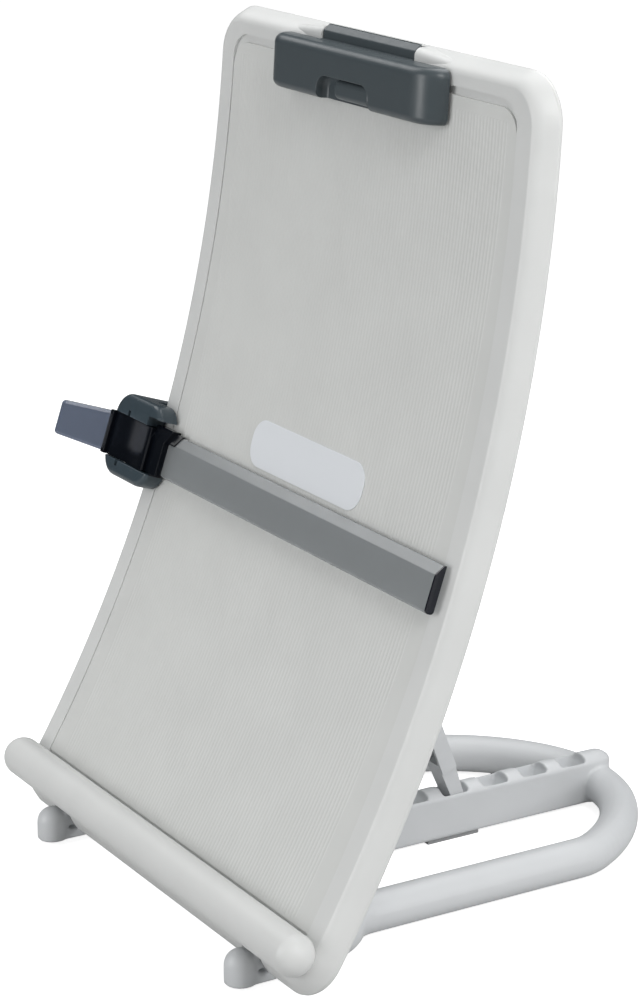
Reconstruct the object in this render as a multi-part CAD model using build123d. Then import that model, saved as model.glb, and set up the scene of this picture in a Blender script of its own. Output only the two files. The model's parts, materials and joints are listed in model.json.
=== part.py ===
from build123d import *
import os
from math import atan2, cos, degrees, hypot, radians, sin

# Desk document holder with a hollow-curved board, a page clip, a line guide and a ratchet base.
# Sizes are millimetres. X runs to the reader's right, Y away from the reader and Z up.
# The origin lies on the desk under the middle of the rail pad, on the plane of symmetry.

# Board: an arc seen from the side, wider at its foot than at its top
page_radius = 666.6
foot_slope = 32.84
board_run = 359.8
board_half_foot = 126.6
board_half_top = 120.9
shell_depth = 8.2
cover_thickness = 2.0
board_top_corner = 20.0
board_foot_corner = 17.0
rim_inset = 4.4
rim_depth = 7.0
rim_round = 3.8
shell_skin = 2.4
hollow_foot_run = 26.0
hollow_below_top = 25.8
hollow_inset = 6.6
cover_inset = 0.6
cover_round = 1.2

# Ribbed sheet that faces the page
sheet_thickness = 1.0
sheet_border = 15.9
sheet_below_top = 14.8
seat_below_top = 11.4
sheet_foot_run = 20.4
sheet_corner = 11.0
sheet_sink = 0.25
sheet_gap = 0.15

# Bare label plate
plate_run = 185.0
plate_length = 87.0
plate_height = 20.0
plate_thickness = 0.8
plate_corner = 8.5
plate_gap = 0.05

# Ledge that carries the page
ledge_radius = 8.9
ledge_half_length = 124.8
ledge_run = 14.0
ledge_proud = 6.6

# Hinge between base and board
hinge_ahead = 142.7
hinge_height = 12.59
hinge_behind_page = 4.6
hinge_run = 4.2
hinge_pin_radius = 1.25
hinge_play = 0.05
hinge_bite = 3.0
ear_half_gap = 82.0
ear_radius = 6.6
ear_ahead_of_hinge = 7.3
ear_dome_height = 9.7
ear_floor_gap = 2.1
knuckle_radius = 3.4
knuckle_width = 10.0
slot_width = 15.0
slot_run = 9.0

# Base: a tube loop, arms with hinge ears, and the rail
pad_thickness = 1.0
tube_radius = 8.4
leg_half_gap = 67.0
leg_length_behind = 21.4
leg_length_ahead = 104.0
bow_depth = 56.4
bow_side_radius = 22.3
bow_side_turn = 24.64
bow_flank_turn = 34.09
arm_shift = 13.5
arm_sway = 30.0
tongue_length = 12.0
tongue_width = 11.0
tongue_thickness = 4.0
cross_tube_radius = 7.0
cross_tube_ahead = 104.0

# Ratchet rail
rail_width = 12.6
rail_lip_height = 20.3
rail_crown = 3.2
rail_lip_round = 1.0
rail_end_behind = 85.2
notch_wall_behind = 7.7
notch_pitch = 20.8
notches_behind_foot = 3
notches_ahead_of_foot = 3
notch_length = 13.2
notch_half_width = 5.3
notch_depth = 5.0
notch_floor_length = 4.5
notch_wall_lean = 2.0

# Pads under the base
pad_radius = 5.5
front_pad_ahead = 104.0
rear_pad_path_share = 0.395
rail_pad_width = 10.0
rail_pad_length = 26.0
rail_pad_thickness = 1.7

# Prop strut and its bracket on the back of the board
pivot_run = 181.8
pivot_behind_cover = 7.3
strut_width = 12.0
strut_thickness = 7.4
strut_head_radius = 4.5
strut_nose_radius = 3.0
strut_foot_width = 9.8
strut_foot_length = 15.0
strut_rib = 1.4
strut_wall = 1.6
strut_web = 2.0
strut_cell_pitch = 17.0
strut_seat_gap = 0.2
strut_pin_radius = 2.0
pin_play = 0.05
bracket_plate = 2.2
bracket_half_width = 17.0
bracket_half_height = 20.0
bracket_cheek = 3.0
bracket_gap = 0.4
bracket_cheek_radius = 5.4
bracket_screw_inset = 4.4

# Screws
screw_head_radius = 2.6
screw_head_height = 1.2
screw_shank_radius = 1.3
screw_length = 4.4
screw_drive_width = 0.8
screw_drive_depth = 0.6
boss_radius = 3.4
cover_screw_inset = 14.0

# Page clip
jaw_half_width = 61.0
jaw_height = 21.7
jaw_below_top = 5.6
jaw_proud = 11.0
jaw_gap = 0.8
jaw_wall = 2.0
jaw_corner = 4.8
jaw_round = 4.0
scoop_half_width = 19.5
scoop_depth = 4.5
scoop_height = 10.0
scoop_radius = 10.0
scoop_ahead = 5.5
scoop_lift = 0.6
grip_thickness = 1.4
grip_height = 4.0
grip_gap = 0.3
clip_pin_below_top = 5.2
clip_pin_proud = -2.8
clip_pin_radius = 1.1
barrel_radius = 2.9
tab_half_width = 34.5
tab_above_top = 0.4
tab_proud = 0.3
tab_thickness = 3.6
tab_bevel_run = 2.6
tab_bevel_depth = 2.8
tab_gap = 0.8
tab_pocket_gap = 1.0
shoulder_bite = 8.0
spring_room_half = 9.0
spring_wire_radius = 0.45
spring_coil_radius = 2.3
spring_pitch = 1.7
spring_turns = 5

# Line guide: carriage round the left edge of the board
guide_run = 164.5
carriage_left = 144.0
carriage_right = 103.0
carriage_half_height = 18.5
carriage_drop = 0.7
carriage_proud = 9.6
carriage_gap = 0.7
carriage_floor = 1.7
carriage_round = 3.4
carriage_corner = 10.2
edge_gap = 1.0
back_gap = 1.3
back_plate = 3.0
back_right = 108.0
back_half_height = 17.2
shoe_thickness = 0.9
shoe_length = 14.0
shoe_height = 18.0
window_half = 10.0
window_drop = 2.0
holder_room_half = 12.0
holder_room_right = 114.0
channel_drop = 2.6
rocker_pin_left = 131.0
rocker_pin_proud = 4.6
rocker_pin_radius = 1.2
rocker_pin_half_length = 15.0
rocker_half_height = 9.4
rocker_top = 8.6
rocker_bottom = 2.9
rocker_right = 112.4
rocker_knuckle = 2.9
rocker_spring_half = 3.4
rocker_spring_turns = 3

# Lever, bar holder, bar and end cap that rock together
lever_left = 158.5
lever_left_proud = 26.8
lever_thickness = 3.4
lever_half_left = 7.7
lever_half_right = 9.3
lever_corner = 3.0
holder_left = 112.4
holder_right = 95.5
holder_half_height = 11.6
holder_top = 8.4
holder_bottom = 0.9
bar_left = 104.0
bar_right = 112.2
bar_back_proud = 1.7
bar_front_proud = 5.7
bar_foot = 11.0
bar_head = 8.3
bar_shoulder = 4.3
bar_head_proud = 2.7
bar_foot_round = 1.8
cap_thickness = 0.8

# Cutters run past what they cut by this much
overrun = 1.0

board_depth = shell_depth + cover_thickness
tube_height = pad_thickness + tube_radius
hollow_top_run = board_run - hollow_below_top
sheet_top_run = board_run - sheet_below_top
seat_top_run = board_run - seat_below_top
jaw_top_run = board_run - jaw_below_top
jaw_foot_run = jaw_top_run - jaw_height
clip_pin_run = board_run - clip_pin_below_top
tab_top_run = board_run + tab_above_top


def arc_angle(run):
    """Angle in radians of the board's arc at an arc length up from its lower end."""
    return run / page_radius - radians(foot_slope)


hinge_reach = page_radius + hinge_behind_page
arc_y = -hinge_ahead - hinge_reach * cos(arc_angle(hinge_run))
arc_z = hinge_height - hinge_reach * sin(arc_angle(hinge_run))


def arc_point(run, proud=0):
    """Side-view place (Y, Z) at an arc length up the page and a distance in front of it."""
    reach = page_radius - proud
    return (arc_y + reach * cos(arc_angle(run)), arc_z + reach * sin(arc_angle(run)))


def page_plane(run, side=0, proud=0):
    """Plane on the page: x to the right, y up the page and z towards the reader."""
    y, z = arc_point(run, proud)
    angle = arc_angle(run)
    return Plane(origin=(side, y, z), x_dir=(1, 0, 0), z_dir=(0, -cos(angle), -sin(angle)))


def band(start, end, front, back, left, right):
    """Slab that follows the page's curve between two arc lengths and two depths."""
    middle = (start + end) / 2
    inner = ThreePointArc(arc_point(start, front), arc_point(middle, front), arc_point(end, front))
    outer = ThreePointArc(arc_point(end, back), arc_point(middle, back), arc_point(start, back))
    ends = Line(inner @ 1, outer @ 0) + Line(outer @ 1, inner @ 0)
    face = make_face(inner + outer + ends)
    return Pos(left, 0, 0) * extrude(Plane.YZ * face, right - left)


def half_width(run):
    """Half of the board's width at an arc length."""
    foot_z = arc_point(0)[1]
    share = (arc_point(run)[1] - foot_z) / (arc_point(board_run)[1] - foot_z)
    return board_half_foot + (board_half_top - board_half_foot) * share


def trapezoid(inset, start, end):
    """Prism along Y with the board's tapering sides, drawn in by an inset."""
    low, high = arc_point(start)[1] - board_run / 2, arc_point(end)[1] + board_run / 2
    foot_z, top_z = arc_point(0)[1], arc_point(board_run)[1]
    slope = (board_half_top - board_half_foot) / (top_z - foot_z)
    low_half = board_half_foot + slope * (low - foot_z) - inset
    high_half = board_half_foot + slope * (high - foot_z) - inset
    corners = [(-low_half, low), (low_half, low), (high_half, high), (-high_half, high)]
    face = make_face(Polyline(*corners, close=True))
    return Pos(0, arc_point(board_run)[0], 0) * extrude(Plane.XZ * face, board_run, both=True)


def curved_panel(start, end, front, back, inset, foot_corner, top_corner):
    """Board-shaped slab with rounded corners."""
    widest = board_half_foot + board_run
    slab = band(start, end, front, back, -widest, widest) & trapezoid(inset, start, end)
    short = [edge for edge in slab.edges() if edge.length < front - back + overrun]
    short.sort(key=lambda edge: edge.center().Z)
    if foot_corner > 0:
        slab = fillet(short[:2], foot_corner)
        short = [edge for edge in slab.edges() if edge.length < front - back + overrun]
        short.sort(key=lambda edge: edge.center().Z)
    if top_corner > 0:
        slab = fillet(short[-2:], top_corner)
    return slab


def broad_face(solid, front=True):
    """The page-side or the rear one of a curved panel's two broad faces."""
    broad = sorted(solid.faces(), key=lambda face: face.area)[-2:]
    broad.sort(key=lambda face: face.center().Y)
    return broad[0] if front else broad[1]


def local_box(plane, left, right, low, high, back, front):
    """Box given by its limits on a plane on the page."""
    return plane * Pos((left + right) / 2, (low + high) / 2, (back + front) / 2) * Box(
        right - left, high - low, front - back
    )


def cross_rod(side, length, y, z, radius):
    """Rod along X, centred on a place."""
    return Pos(side, y, z) * Rot(0, 90, 0) * Cylinder(radius, length)


def sides():
    """The left and the right side."""
    return (-1, 1)


# Board body


def screw_places():
    """Where the cover's screws stand: side and arc length."""
    runs = [hollow_foot_run + cover_screw_inset, board_run / 2, hollow_top_run - cover_screw_inset]
    inset = hollow_inset + cover_screw_inset
    return [(side * (half_width(run) - inset), run) for run in runs for side in sides()]


def bracket_screw_places():
    """Where the bracket's screws stand: side and arc length."""
    rise = bracket_half_height - bracket_screw_inset
    return [(0, pivot_run - rise), (0, pivot_run + rise)]


def screw(plane):
    """Slotted screw, its head on the plane and its shank going in towards +z."""
    head = extrude(Circle(screw_head_radius), -screw_head_height)
    shank = extrude(Circle(screw_shank_radius), screw_length)
    slot = Box(2 * screw_head_radius + overrun, screw_drive_width, screw_drive_depth * 2)
    return plane * (head + shank - Pos(0, 0, -screw_head_height) * slot)


def screw_boss(side, run):
    """Post inside the shell that takes one screw."""
    reach = 2 * boss_radius
    rod = page_plane(run, side, -shell_depth) * Cylinder(boss_radius, 4 * shell_depth)
    post = rod & band(run - reach, run + reach, -shell_skin, -shell_depth, side - reach, side + reach)
    depth = shell_depth - shell_skin - screw_head_height / 2
    return post - page_plane(run, side, -shell_depth) * Cylinder(screw_shank_radius, 2 * depth)


def hinge_slots():
    """Room in the board's lower edge for the ears of the base."""
    room = []
    for side in sides():
        left = side * ear_half_gap - slot_width / 2
        room.append(band(-slot_run, slot_run, ear_radius, -board_depth - overrun, left, left + slot_width))
    return room


def ledge_solid():
    """Round bar with ball ends across the foot of the page."""
    y, z = arc_point(ledge_run, ledge_proud)
    straight = ledge_half_length - ledge_radius
    bar = cross_rod(0, 2 * straight, y, z, ledge_radius)
    for side in sides():
        bar += Pos(side * straight, y, z) * Sphere(ledge_radius)
    return bar


def tab_pocket():
    """Room in the board's top edge for the clip's press tab and barrel."""
    wide = tab_half_width + tab_gap
    low = clip_pin_run - barrel_radius - tab_pocket_gap
    back = clip_pin_proud - barrel_radius - tab_pocket_gap
    return band(low, tab_top_run + overrun, jaw_proud, back, -wide, wide)


def board_shell():
    """Moulded front of the board with its rim, hinge slots, seat for the ledge and clip pocket."""
    shell = curved_panel(0, board_run, 0, -shell_depth, 0, board_foot_corner, board_top_corner)
    rim = broad_face(shell).edges()
    shell = chamfer(rim, rim_inset, rim_depth, reference=broad_face(shell))
    shell = fillet(broad_face(shell).edges(), rim_round)
    hollow = curved_panel(
        hollow_foot_run, hollow_top_run, -shell_skin, -shell_depth - overrun, hollow_inset, 0, 0
    )
    shell -= hollow
    for side, run in screw_places() + bracket_screw_places():
        shell += screw_boss(side, run)
    shell -= sheet_seat()
    shell -= ledge_solid()
    for room in hinge_slots():
        shell -= room
    for side in sides():
        length = slot_width + 2 * hinge_bite
        radius = hinge_pin_radius + hinge_play
        shell -= cross_rod(side * ear_half_gap, length, -hinge_ahead, hinge_height, radius)
    shell -= tab_pocket()
    y, z = arc_point(clip_pin_run, clip_pin_proud)
    shell -= cross_rod(0, 2 * (tab_half_width + shoulder_bite), y, z, clip_pin_radius)
    return shell


def sheet_seat():
    """Shallow seat in the shell for the ribbed sheet."""
    inset = sheet_border - sheet_gap
    back = -sheet_sink - sheet_thickness
    return curved_panel(
        sheet_foot_run - board_foot_corner, seat_top_run, overrun, back, inset, 0, sheet_corner
    )


def ribbed_sheet():
    """Thin ribbed panel behind the page, let into the shell."""
    back = -sheet_sink - sheet_thickness
    sheet = curved_panel(
        sheet_foot_run - ledge_radius, sheet_top_run, -sheet_sink, back, sheet_border, 0, sheet_corner
    )
    return sheet - ledge_solid()


def rear_cover():
    """Flat back of the board."""
    cover = curved_panel(
        cover_inset, board_run - cover_inset, -shell_depth, -board_depth, cover_inset,
        board_foot_corner - cover_inset, board_top_corner - cover_inset
    )
    cover = fillet(broad_face(cover, front=False).edges(), cover_round)
    for room in hinge_slots():
        cover -= room
    for side, run in screw_places():
        place = page_plane(run, side, -board_depth)
        cover -= place * Cylinder(screw_shank_radius + pin_play, 2 * board_depth)
        cover -= place * Cylinder(screw_head_radius + pin_play, 2 * screw_head_height)
    for side, run in bracket_screw_places():
        cover -= page_plane(run, side, -board_depth) * Cylinder(screw_shank_radius, 2 * board_depth)
    return cover


def cover_screws():
    """Screws that hold the cover, heads flush in it."""
    return [screw(page_plane(run, side, screw_head_height - board_depth)) for side, run in screw_places()]


def ledge_bar():
    """The ledge as a piece of its own."""
    return ledge_solid()


def label_plate():
    """Bare plate with round ends on the ribbed sheet."""
    half_length, half_height = plate_length / 2, plate_height / 2
    back = plate_gap - sheet_sink
    front = back + plate_thickness
    slab = band(plate_run - half_height, plate_run + half_height, front, back, -half_length, half_length)
    outline = page_plane(plate_run) * Pos(0, 0, -plate_height / 2) * extrude(
        RectangleRounded(plate_length, plate_height, plate_corner), plate_height
    )
    return slab & outline


# Strut body

pivot_y, pivot_z = arc_point(pivot_run, -board_depth - pivot_behind_cover)
notch_floor = rail_lip_height - notch_depth
nose_y = notch_wall_behind - notch_wall_lean - strut_seat_gap - strut_nose_radius
nose_z = notch_floor + strut_seat_gap + strut_nose_radius
strut_length = hypot(nose_y - pivot_y, nose_z - pivot_z)
strut_lean = atan2(nose_y - pivot_y, pivot_z - nose_z)


def strut_plane():
    """Plane at the strut's pivot: y up the strut and z out of its front."""
    return Plane(
        origin=(0, pivot_y, pivot_z), x_dir=(1, 0, 0), z_dir=(0, -cos(strut_lean), -sin(strut_lean))
    )


def prop_strut():
    """Prop with a round head, cells in its front and a nose that drops into a notch."""
    plane = strut_plane()
    shin = strut_foot_length - strut_length
    half = strut_width / 2
    body = local_box(plane, -half, half, shin, 0, -strut_thickness / 2, strut_thickness / 2)
    body += cross_rod(0, strut_width, pivot_y, pivot_z, strut_head_radius)
    outline = Pos(shin, 0) * Circle(strut_thickness / 2) + Pos(-strut_length, 0) * Circle(strut_nose_radius)
    foot = extrude(make_hull(outline.edges()), strut_foot_width / 2, both=True)
    side_plane = Plane(
        origin=(0, pivot_y, pivot_z), x_dir=(0, -sin(strut_lean), cos(strut_lean)), z_dir=(1, 0, 0)
    )
    body += side_plane * foot
    cells = int((strut_length - strut_foot_length - strut_head_radius * 2) // strut_cell_pitch)
    for count in range(cells):
        high = -strut_head_radius * 2 - count * strut_cell_pitch
        low = high - strut_cell_pitch + strut_rib
        floor = strut_web - strut_thickness / 2
        body -= local_box(plane, strut_wall - half, half - strut_wall, low, high, floor, strut_thickness)
    return body - cross_rod(0, strut_width * 2, pivot_y, pivot_z, strut_pin_radius + pin_play)


def strut_bracket():
    """Plate on the back of the board with two cheeks that carry the strut's pin."""
    high, low = pivot_run + bracket_half_height, pivot_run - bracket_half_height
    back = -board_depth - bracket_plate
    bracket = band(low, high, -board_depth, back, -bracket_half_width, bracket_half_width)
    plane = page_plane(pivot_run, 0, -board_depth)
    for side in sides():
        middle = side * (strut_width / 2 + bracket_gap + bracket_cheek / 2)
        cheek = cross_rod(middle, bracket_cheek, pivot_y, pivot_z, bracket_cheek_radius)
        cheek += local_box(
            plane, middle - bracket_cheek / 2, middle + bracket_cheek / 2,
            -bracket_cheek_radius, bracket_cheek_radius, -pivot_behind_cover, -bracket_plate / 2
        )
        bracket += cheek
    bracket -= cross_rod(0, bracket_half_width * 2, pivot_y, pivot_z, strut_pin_radius)
    for side, run in bracket_screw_places():
        shank = Cylinder(screw_shank_radius + pin_play, 2 * board_depth)
        head = Cylinder(screw_head_radius + pin_play, 2 * screw_head_height)
        bracket -= page_plane(run, side, -board_depth) * shank
        bracket -= page_plane(run, side, back) * head
    return bracket


def strut_pin():
    """Pin through the bracket's cheeks and the strut's head."""
    length = strut_width + 2 * (bracket_gap + bracket_cheek)
    return cross_rod(0, length, pivot_y, pivot_z, strut_pin_radius)


def bracket_screws():
    """Screws of the bracket."""
    depth = -board_depth - bracket_plate + screw_head_height
    return [screw(page_plane(run, side, depth)) for side, run in bracket_screw_places()]


# Clip body


def clip_jaw():
    """Hollow jaw with a finger scoop, a hinge barrel and a press tab."""
    middle = (jaw_foot_run + jaw_top_run) / 2
    half = (jaw_top_run - jaw_foot_run) / 2
    plane = page_plane(middle)
    outline = RectangleRounded(2 * jaw_half_width, 2 * half, jaw_corner)
    jaw = plane * Pos(0, 0, jaw_gap) * extrude(outline, jaw_proud - jaw_gap)
    front = sorted(jaw.faces(), key=lambda face: face.center().Y)[0]
    jaw = fillet(front.edges(), jaw_round)
    inner_half = jaw_half_width - jaw_corner
    hollow = local_box(
        plane, -inner_half, inner_half, -half - overrun, half - jaw_round - jaw_wall / 2,
        jaw_gap - overrun, jaw_proud - jaw_wall
    )
    wide = scoop_half_width + jaw_wall
    hollow -= local_box(
        plane, -wide, wide, -half - overrun, scoop_height + jaw_wall - half,
        jaw_proud - scoop_depth - jaw_wall, jaw_proud
    )
    jaw -= hollow
    jaw += local_box(
        plane, -inner_half, inner_half, -half, jaw_wall - half, jaw_gap + grip_thickness,
        jaw_proud - jaw_round
    )
    jaw -= plane * finger_scoop(half)
    y, z = arc_point(clip_pin_run, clip_pin_proud)
    jaw += press_tab()
    jaw -= cross_rod(0, 2 * spring_room_half, y, z, spring_coil_radius + pin_play)
    return jaw - cross_rod(0, 2 * tab_half_width + overrun, y, z, clip_pin_radius + pin_play)


def finger_scoop(half):
    """Cutter with ball ends for the scoop in the jaw's lower edge, on the jaw's own plane."""
    reach = scoop_half_width - (scoop_radius ** 2 - scoop_ahead ** 2) ** 0.5
    scoop = Rot(0, 90, 0) * Cylinder(scoop_radius, 2 * reach)
    for side in sides():
        scoop += Pos(side * reach, 0, 0) * Sphere(scoop_radius)
    return Pos(0, scoop_lift - half, jaw_proud + scoop_ahead) * scoop


def press_tab():
    """Barrel on the clip's pin with the neck to the jaw and the bevelled tab above it."""
    y, z = arc_point(clip_pin_run, clip_pin_proud)
    plane = page_plane(clip_pin_run)
    tab = local_box(
        plane, -tab_half_width, tab_half_width, 0, tab_top_run - clip_pin_run,
        tab_proud - tab_thickness, tab_proud
    )
    crest = tab.edges().filter_by(Axis.X).sort_by(Axis.Z)[-2:].sort_by(Axis.Y)[0]
    top = tab.faces().sort_by(Axis.Z)[-1]
    tab = chamfer(crest, tab_bevel_depth, tab_bevel_run, reference=top)
    tab += cross_rod(0, 2 * tab_half_width, y, z, barrel_radius)
    return tab + local_box(
        plane, -tab_half_width, tab_half_width, -barrel_radius, 0, clip_pin_proud, jaw_gap + jaw_wall
    )


def clip_grip_pad():
    """Soft strip under the jaw's lower lip."""
    middle = (jaw_foot_run + jaw_top_run) / 2
    half = (jaw_top_run - jaw_foot_run) / 2
    wide = jaw_half_width - jaw_corner - jaw_wall
    front = jaw_gap + grip_thickness
    return local_box(
        page_plane(middle), -wide, wide, jaw_wall / 4 - half, grip_height - half, grip_gap, front
    )


def clip_pin():
    """Pin through the shoulders of the board and the clip's barrel."""
    y, z = arc_point(clip_pin_run, clip_pin_proud)
    return cross_rod(0, 2 * (tab_half_width + shoulder_bite), y, z, clip_pin_radius)


def coil(turns, pitch, coil_radius, wire_radius):
    """Unbroken coil about X from half-turn arcs, its middle at the origin."""
    path = None
    start = -turns * pitch / 2
    for half_turn in range(2 * turns):
        sign = 1 if half_turn % 2 == 0 else -1
        reach = start + half_turn * pitch / 2
        arc = ThreePointArc(
            (reach, 0, sign * coil_radius),
            (reach + pitch / 4, sign * coil_radius, 0),
            (reach + pitch / 2, 0, -sign * coil_radius),
        )
        path = arc if path is None else path + arc
    section = Plane(origin=(start, 0, coil_radius), z_dir=(0, 1, 0)) * Circle(wire_radius)
    return sweep(section, path)


def clip_spring():
    """Torsion spring on the clip's pin."""
    y, z = arc_point(clip_pin_run, clip_pin_proud)
    radius = spring_coil_radius - spring_wire_radius
    return Pos(0, y, z) * coil(spring_turns, spring_pitch, radius, spring_wire_radius)


# Carriage body


def lobe_middle(side):
    """Middle of the carriage's upper or lower lobe, up the page from the bar's axis."""
    return side * (carriage_half_height + window_half) / 2 - (carriage_drop + window_drop) / 2


def carriage_front():
    """Housing round the board's left edge, cut away for the rocker, the lever and the bar."""
    plane = page_plane(guide_run)
    width = carriage_left - carriage_right
    edge = half_width(guide_run) + edge_gap
    back = -board_depth - back_gap
    outline = Pos(-(carriage_left + carriage_right) / 2, -carriage_drop) * RectangleRounded(
        width, 2 * carriage_half_height, carriage_corner
    )
    block = Pos(0, 0, back) * extrude(outline, carriage_proud - back)
    block = fillet(block.faces().sort_by(Axis.Z)[-1].edges(), carriage_round)
    block -= Pos(-edge + board_half_foot, 0, (carriage_gap + back - overrun) / 2) * Box(
        2 * board_half_foot, 3 * carriage_half_height, carriage_gap - back + overrun
    )
    floor = carriage_gap + carriage_floor
    low, high = -window_half - window_drop, window_half - window_drop
    block -= local_box(
        Plane.XY, -edge, overrun - carriage_right, low, high, floor, carriage_proud + overrun
    )
    block -= local_box(
        Plane.XY, -holder_room_right, overrun - carriage_right, -holder_room_half, holder_room_half, 0,
        carriage_proud + overrun
    )
    block -= local_box(
        Plane.XY, -carriage_left - overrun, -edge, low, high, floor - channel_drop - overrun,
        carriage_proud + overrun
    )
    block -= rocker_rod(rocker_pin_radius, rocker_pin_half_length)
    for side in sides():
        block -= carriage_screw_hole(side, screw_shank_radius, back)
    return plane * block


def rocker_rod(radius, half_length):
    """Rod along the rocker's axis, on the guide's own axes."""
    return Pos(-rocker_pin_left, -window_drop, rocker_pin_proud) * Rot(90, 0, 0) * Cylinder(
        radius, 2 * half_length
    )


def carriage_screw_hole(side, radius, back):
    """Hole for one of the carriage's screws, on the guide's own axes."""
    edge = half_width(guide_run) + edge_gap
    place = (-(carriage_left + edge) / 2, lobe_middle(side), back)
    return Pos(*place) * Cylinder(radius, 2 * screw_length)


def carriage_back():
    """Plate behind the board that closes the carriage."""
    back = -board_depth - back_gap
    width = carriage_left - back_right
    middle = (lobe_middle(1) + lobe_middle(-1)) / 2
    outline = Pos(-(carriage_left + back_right) / 2, middle) * RectangleRounded(
        width, 2 * back_half_height, carriage_corner
    )
    block = Pos(0, 0, back - back_plate) * extrude(outline, back_plate)
    block = fillet(block.faces().sort_by(Axis.Z)[0].edges(), back_plate / 3)
    for side in sides():
        block -= carriage_screw_hole(side, screw_shank_radius + pin_play, back)
        edge = half_width(guide_run) + edge_gap
        place = (-(carriage_left + edge) / 2, lobe_middle(side), back - back_plate)
        block -= Pos(*place) * Cylinder(screw_head_radius + pin_play, 2 * screw_head_height)
    return page_plane(guide_run) * block


def carriage_screws():
    """Screws that join the two halves of the carriage."""
    depth = -board_depth - back_gap - back_plate + screw_head_height
    edge = half_width(guide_run) + edge_gap
    side_place = -(carriage_left + edge) / 2
    plane = page_plane(guide_run)
    return [plane * Pos(side_place, lobe_middle(side), depth) * screw(Plane.XY) for side in sides()]


def friction_shoe():
    """Soft shoe on the back plate that drags on the board's cover."""
    back = -board_depth - back_gap
    plane = page_plane(guide_run)
    front = back + shoe_thickness
    left = -back_right - shoe_length
    return local_box(plane, left, left + shoe_length / 2, -shoe_height / 2, shoe_height / 2, back, front)


def rocker_pin():
    """Pin along the board's edge that the rocker turns on."""
    return page_plane(guide_run) * rocker_rod(rocker_pin_radius, rocker_pin_half_length)


def rocker_spring():
    """Torsion spring round the rocker's pin, in a gap in the rocker."""
    coil_radius = rocker_pin_radius + 2 * spring_wire_radius
    turned = Rot(0, 0, 90) * coil(rocker_spring_turns, spring_pitch, coil_radius, spring_wire_radius)
    return page_plane(guide_run) * Pos(-rocker_pin_left, -window_drop, rocker_pin_proud) * turned


# Rocker body


def rocker_block():
    """Rocking block in the carriage's window."""
    block = local_box(
        Plane.XY, -carriage_left, -rocker_right, -rocker_half_height - window_drop,
        rocker_half_height - window_drop, rocker_bottom, rocker_top
    )
    block += rocker_rod(rocker_knuckle, rocker_half_height)
    block -= Pos(-rocker_pin_left, -window_drop, rocker_pin_proud) * Box(
        2 * rocker_knuckle + overrun, 2 * rocker_spring_half, 2 * rocker_knuckle + overrun
    )
    block -= rocker_rod(rocker_pin_radius + pin_play, rocker_half_height + overrun)
    return page_plane(guide_run) * block


def guide_lever():
    """See-through finger lever that stands off the page towards the reader."""
    run_out = lever_left - carriage_left
    rise = lever_left_proud - rocker_top
    length = hypot(run_out, rise)
    outline = Polyline(
        (0, -lever_half_right), (0, lever_half_right), (-length, lever_half_left),
        (-length, -lever_half_left), close=True
    )
    blade = extrude(make_face(outline), -lever_thickness)
    blade = fillet(blade.edges().filter_by(Axis.Z).sort_by(Axis.X)[:2], lever_corner)
    lean = degrees(atan2(rise, run_out))
    tilted = Pos(-carriage_left, -window_drop, rocker_top) * Rot(0, lean, 0) * blade
    tilted -= local_box(
        Plane.XY, -carriage_left, -rocker_right, -2 * lever_half_right, 2 * lever_half_right, 0,
        lever_left_proud
    )
    return page_plane(guide_run) * tilted


def bar_profile():
    """Section of the line guide seen from its right end: upright y, z towards the reader."""
    points = [
        (-bar_foot, bar_back_proud), (-bar_foot, bar_front_proud), (bar_shoulder, bar_front_proud),
        (bar_head, bar_head_proud), (bar_head, bar_back_proud)
    ]
    face = make_face(Polyline(*points, close=True))
    return fillet(face.vertices().sort_by(Axis.X)[:2], bar_foot_round)


def bar_solid(left, right):
    """Length of the line guide between two sides, on the guide's own axes."""
    section = Plane(origin=(left, 0, 0), x_dir=(0, 1, 0), z_dir=(1, 0, 0)) * bar_profile()
    return extrude(section, right - left)


def bar_holder():
    """Socket between the rocker and the bar."""
    block = local_box(
        Plane.XY, -holder_left, -holder_right, -holder_half_height, holder_half_height, holder_bottom,
        holder_top
    )
    return page_plane(guide_run) * (block - bar_solid(-bar_left, -holder_right + overrun))


def guide_bar():
    """See-through bar across the page."""
    return page_plane(guide_run) * bar_solid(-bar_left, bar_right - cap_thickness)


def bar_end_cap():
    """Dark cap on the bar's right end."""
    return page_plane(guide_run) * bar_solid(bar_right - cap_thickness, bar_right)


# Base body


def bow_radii():
    """Radii of the loop's flank and rear arcs, so that they close on the bow's depth and width."""
    first = radians(bow_side_turn)
    both = radians(bow_side_turn + bow_flank_turn)
    across = leg_half_gap - bow_side_radius * (1 - cos(first))
    along = bow_depth - bow_side_radius * sin(first)
    a, b, c, d = cos(first) - cos(both), cos(both), sin(both) - sin(first), 1 - sin(both)
    scale = a * d - b * c
    return (across * d - b * along) / scale, (a * along - c * across) / scale


def loop_path():
    """Centre line of the loop from the left arm round the back to the right arm."""
    flank_radius, rear_radius = bow_radii()
    sway_turn = 2 * atan2(arm_shift, arm_sway)
    sway_radius = arm_sway / (2 * sin(sway_turn))
    side_turn, flank_turn = radians(bow_side_turn), radians(bow_flank_turn)
    sway = [(sway_radius, -sway_turn), (sway_radius, sway_turn)]
    leg = [(0, leg_length_ahead)]
    bow = [(bow_side_radius, -side_turn), (flank_radius, -flank_turn)]
    rear = [(rear_radius, 2 * (side_turn + flank_turn) - radians(180))]
    x, y = -leg_half_gap - arm_shift, leg_length_behind - arm_sway - leg_length_ahead
    heading = radians(90)
    path = None
    for radius, turn in sway + leg + bow + rear + bow[::-1] + leg + sway[::-1]:
        piece, x, y, heading = path_step(x, y, heading, radius, turn)
        path = piece if path is None else path + piece
    return Pos(0, 0, tube_height) * path


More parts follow.
